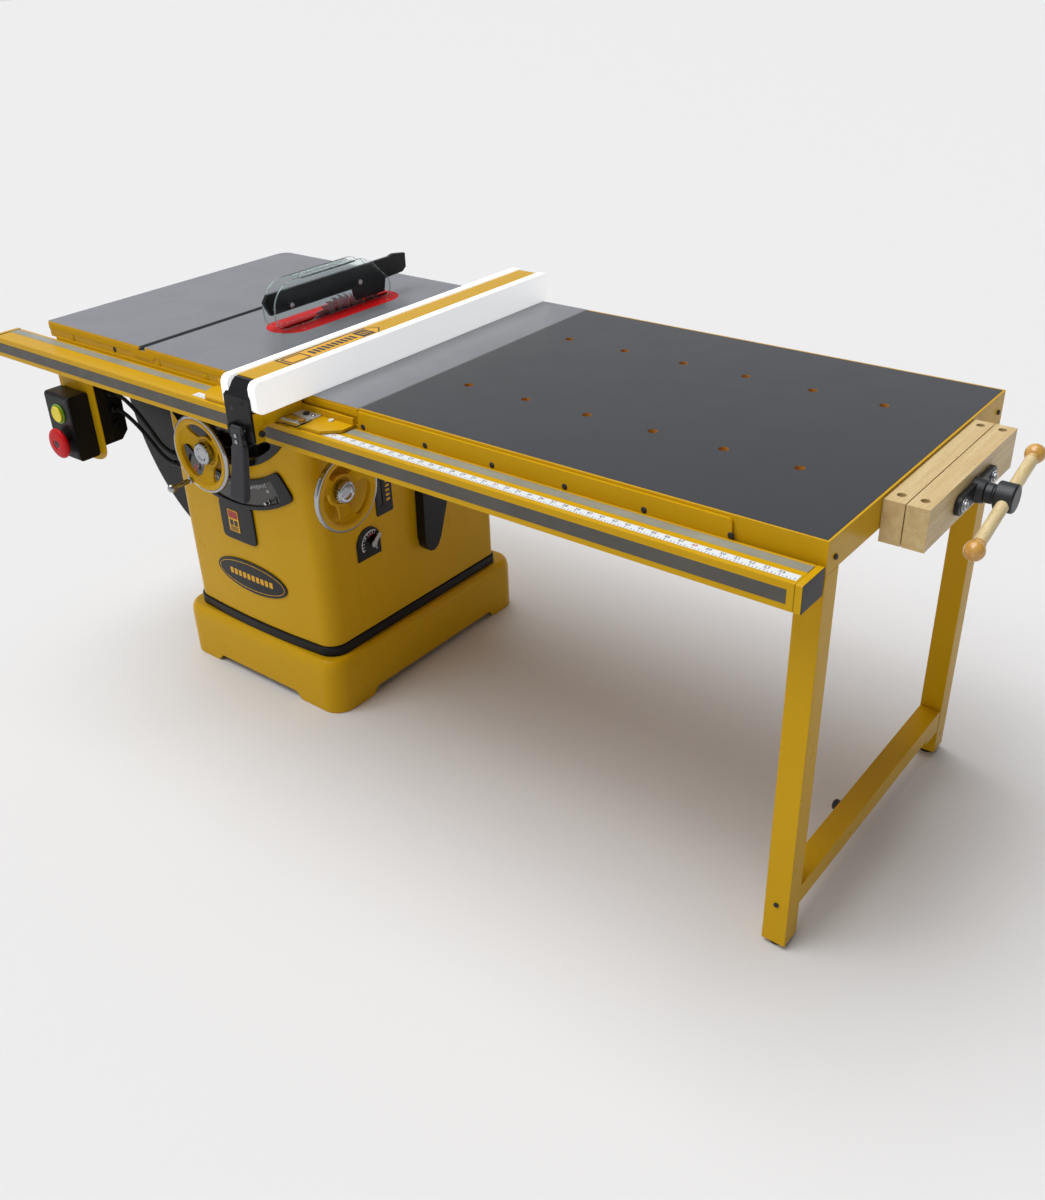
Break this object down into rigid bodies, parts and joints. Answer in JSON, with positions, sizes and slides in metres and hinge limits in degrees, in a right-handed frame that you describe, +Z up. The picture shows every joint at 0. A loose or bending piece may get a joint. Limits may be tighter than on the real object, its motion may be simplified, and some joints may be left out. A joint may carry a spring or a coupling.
{
  "type": "cabinet table saw",
  "caption": "Cabinet table saw with long extension table, T-square rip fence on a front rail, blade guard, two handwheels, switch box and a wooden end vise.",
  "frame": {"origin": "middle of the footprint of the whole saw, on the floor", "axes": "+Z up, +X towards the vise end of the extension table, +Y from the operator's side to the back"},
  "size_m": [2.361, 1.005, 0.975],
  "materials": {
    "gold_paint": "glossy golden-yellow enamel",
    "black_plastic": "satin black moulding",
    "cast_iron": "ground top, painted skirt",
    "red_insert": "matt red",
    "dark_laminate": "satin charcoal laminate on board",
    "rubber": "black rubber",
    "grey_casting": "grey machinery paint",
    "steel": "ground steel",
    "chrome": "polished",
    "clear_shield": "clear polycarbonate",
    "white_plastic": "white polyethylene",
    "yellow_plastic": "yellow moulding",
    "red_plastic": "red moulding",
    "beech": "oiled beech",
    "black_iron": "black enamel"
  },
  "bodies": {
    "saw_body": {"plinth": "gold_paint", "base_band": "black_plastic", "cabinet_shell": "gold_paint", "front_fascia": "gold_paint", "shaft_bezel": "black_plastic", "tilt_bezel": "black_plastic", "main_table": "cast_iron", "left_wing": "cast_iron", "right_wing": "cast_iron", "throat_insert": "red_insert", "extension_top": "dark_laminate", "extension_frame": "gold_paint", "front_leg": "gold_paint", "back_leg": "gold_paint", "leg_stretcher": "gold_paint", "front_foot": "rubber", "back_foot": "rubber", "rail_angle": "gold_paint", "rail_tube": "gold_paint", "rail_cap_left": "black_plastic", "rail_cap_right": "black_plastic", "rear_rail": "gold_paint", "switch_bracket": "gold_paint", "switch_box": "black_plastic", "contactor_box": "black_plastic", "switch_cable": "rubber", "motor_cable": "rubber", "dust_port": "black_plastic", "fixed_jaw": "beech"},
    "tilting_frame": {"trunnion": "grey_casting"},
    "carriage": {"arbor_bracket": "grey_casting", "motor": "grey_casting", "drive_belt": "rubber", "riving_knife": "steel", "guard_spine": "black_plastic"},
    "blade_arbor": {"arbor": "steel", "blade": "steel"},
    "motor_rotor": {"motor_pulley": "steel"},
    "lift_handwheel": {"lift_wheel": "gold_paint", "crank_handle": "chrome"},
    "lift_knob": {"lift_lock_knob": "chrome"},
    "tilt_handwheel": {"tilt_wheel": "gold_paint"},
    "tilt_knob": {"tilt_lock_knob": "chrome"},
    "left_guard": {"left_shield": "clear_shield"},
    "right_guard": {"right_shield": "clear_shield"},
    "fence": {"fence_beam": "gold_paint", "fence_face_left": "white_plastic", "fence_face_right": "white_plastic", "fence_bar": "gold_paint", "fence_head": "black_plastic"},
    "fence_lever": {"lock_lever": "black_plastic"},
    "start": {"start_button": "yellow_plastic"},
    "stop": {"stop_button": "red_plastic"},
    "dial": {"dial_lever": "chrome"},
    "cover": {"motor_cover": "black_plastic"},
    "vise_jaw": {"moving_jaw": "beech", "vise_flange": "black_iron"},
    "vise_spindle": {"vise_screw": "black_iron"},
    "vise_bar": {"vise_handle": "beech"},
    "stick": {"push_stick": "black_plastic"}
  },
  "joints": [
    {"name": "blade_tilt", "type": "hinge", "parent": "saw_body", "child": "tilting_frame", "pos_m": [-0.4915, -0.1825, 0.864], "axis": [0, -1, 0], "range_deg": [0, 45]},
    {"name": "blade_lift", "type": "slide", "parent": "tilting_frame", "child": "carriage", "axis": [0, 0, 1], "range_m": [-0.033, 0.044]},
    {"name": "blade_spin", "type": "hinge", "parent": "carriage", "child": "blade_arbor", "pos_m": [-0.4915, 0.1455, 0.771], "axis": [1, 0, 0], "continuous": true},
    {"name": "motor_spin", "type": "hinge", "parent": "carriage", "child": "motor_rotor", "pos_m": [-0.5765, 0.1455, 0.615], "axis": [1, 0, 0], "continuous": true},
    {"name": "lift_wheel_turn", "type": "hinge", "parent": "tilting_frame", "child": "lift_handwheel", "pos_m": [-0.5239, -0.3045, 0.6308], "axis": [0, 1, 0], "range_deg": [-1082, 1442]},
    {"name": "lift_knob_turn", "type": "hinge", "parent": "lift_handwheel", "child": "lift_knob", "pos_m": [-0.5239, -0.3045, 0.6308], "axis": [0, 1, 0], "range_deg": [-270, 0]},
    {"name": "tilt_wheel_turn", "type": "hinge", "parent": "saw_body", "child": "tilt_handwheel", "pos_m": [-0.1755, -0.1865, 0.58], "axis": [-1, 0, 0], "range_deg": [-2, 8642]},
    {"name": "tilt_knob_turn", "type": "hinge", "parent": "tilt_handwheel", "child": "tilt_knob", "pos_m": [-0.1755, -0.1865, 0.58], "axis": [-1, 0, 0], "range_deg": [-270, 0]},
    {"name": "left_guard_lift", "type": "slide", "parent": "tilting_frame", "child": "left_guard", "axis": [0, 0, 1], "range_m": [-0.0005, 0.0225]},
    {"name": "right_guard_lift", "type": "slide", "parent": "tilting_frame", "child": "right_guard", "axis": [0, 0, 1], "range_m": [0, 0.06]},
    {"name": "fence_slide", "type": "slide", "parent": "saw_body", "child": "fence", "axis": [1, 0, 0], "range_m": [-0.235, 0.97]},
    {"name": "fence_lever_lift", "type": "hinge", "parent": "fence", "child": "fence_lever", "pos_m": [-0.1525, -0.4715, 0.835], "axis": [-1, 0, 0], "range_deg": [0, 60]},
    {"name": "start_press", "type": "slide", "parent": "saw_body", "child": "start", "axis": [0, 1, 0], "range_m": [0, 0.004], "stiffness_N_per_m": 400},
    {"name": "stop_press", "type": "slide", "parent": "saw_body", "child": "stop", "axis": [0, 1, 0], "range_m": [0, 0.005], "stiffness_N_per_m": 600},
    {"name": "dial_turn", "type": "hinge", "parent": "saw_body", "child": "dial", "pos_m": [-0.2155, -0.0885, 0.398], "axis": [1, 0, 0], "range_deg": [-60, 30]},
    {"name": "cover_swing", "type": "hinge", "parent": "saw_body", "child": "cover", "pos_m": [-0.731, 0.2975, 0.564], "axis": [0, 0, -1], "range_deg": [0, 80]},
    {"name": "jaw_travel", "type": "slide", "parent": "saw_body", "child": "vise_jaw", "axis": [1, 0, 0], "range_m": [0, 0.12]},
    {"name": "vise_screw_turn", "type": "hinge", "parent": "vise_jaw", "child": "vise_spindle", "pos_m": [1.1625, 0.0895, 0.817], "axis": [1, 0, 0], "range_deg": [-2, 4322]},
    {"name": "vise_bar_slide", "type": "slide", "parent": "vise_spindle", "child": "vise_bar", "axis": [0, 0.9573, 0.289], "range_m": [-0.08, 0.08]},
    {"name": "push_stick_off", "type": "slide", "parent": "saw_body", "child": "stick", "axis": [1, 0, 0], "range_m": [0, 0.08]}
  ],
  "couplings": [
    {"joint": "motor_spin", "follows": "blade_spin", "ratio": 0.8},
    {"joint": "lift_wheel_turn", "follows": "blade_lift", "rad_per_m": 571.2},
    {"joint": "tilt_wheel_turn", "follows": "blade_tilt", "ratio": 192},
    {"joint": "left_guard_lift", "follows": "blade_tilt", "m_per_rad": 0.028},
    {"joint": "vise_screw_turn", "follows": "jaw_travel", "rad_per_m": 628.32}
  ]
}
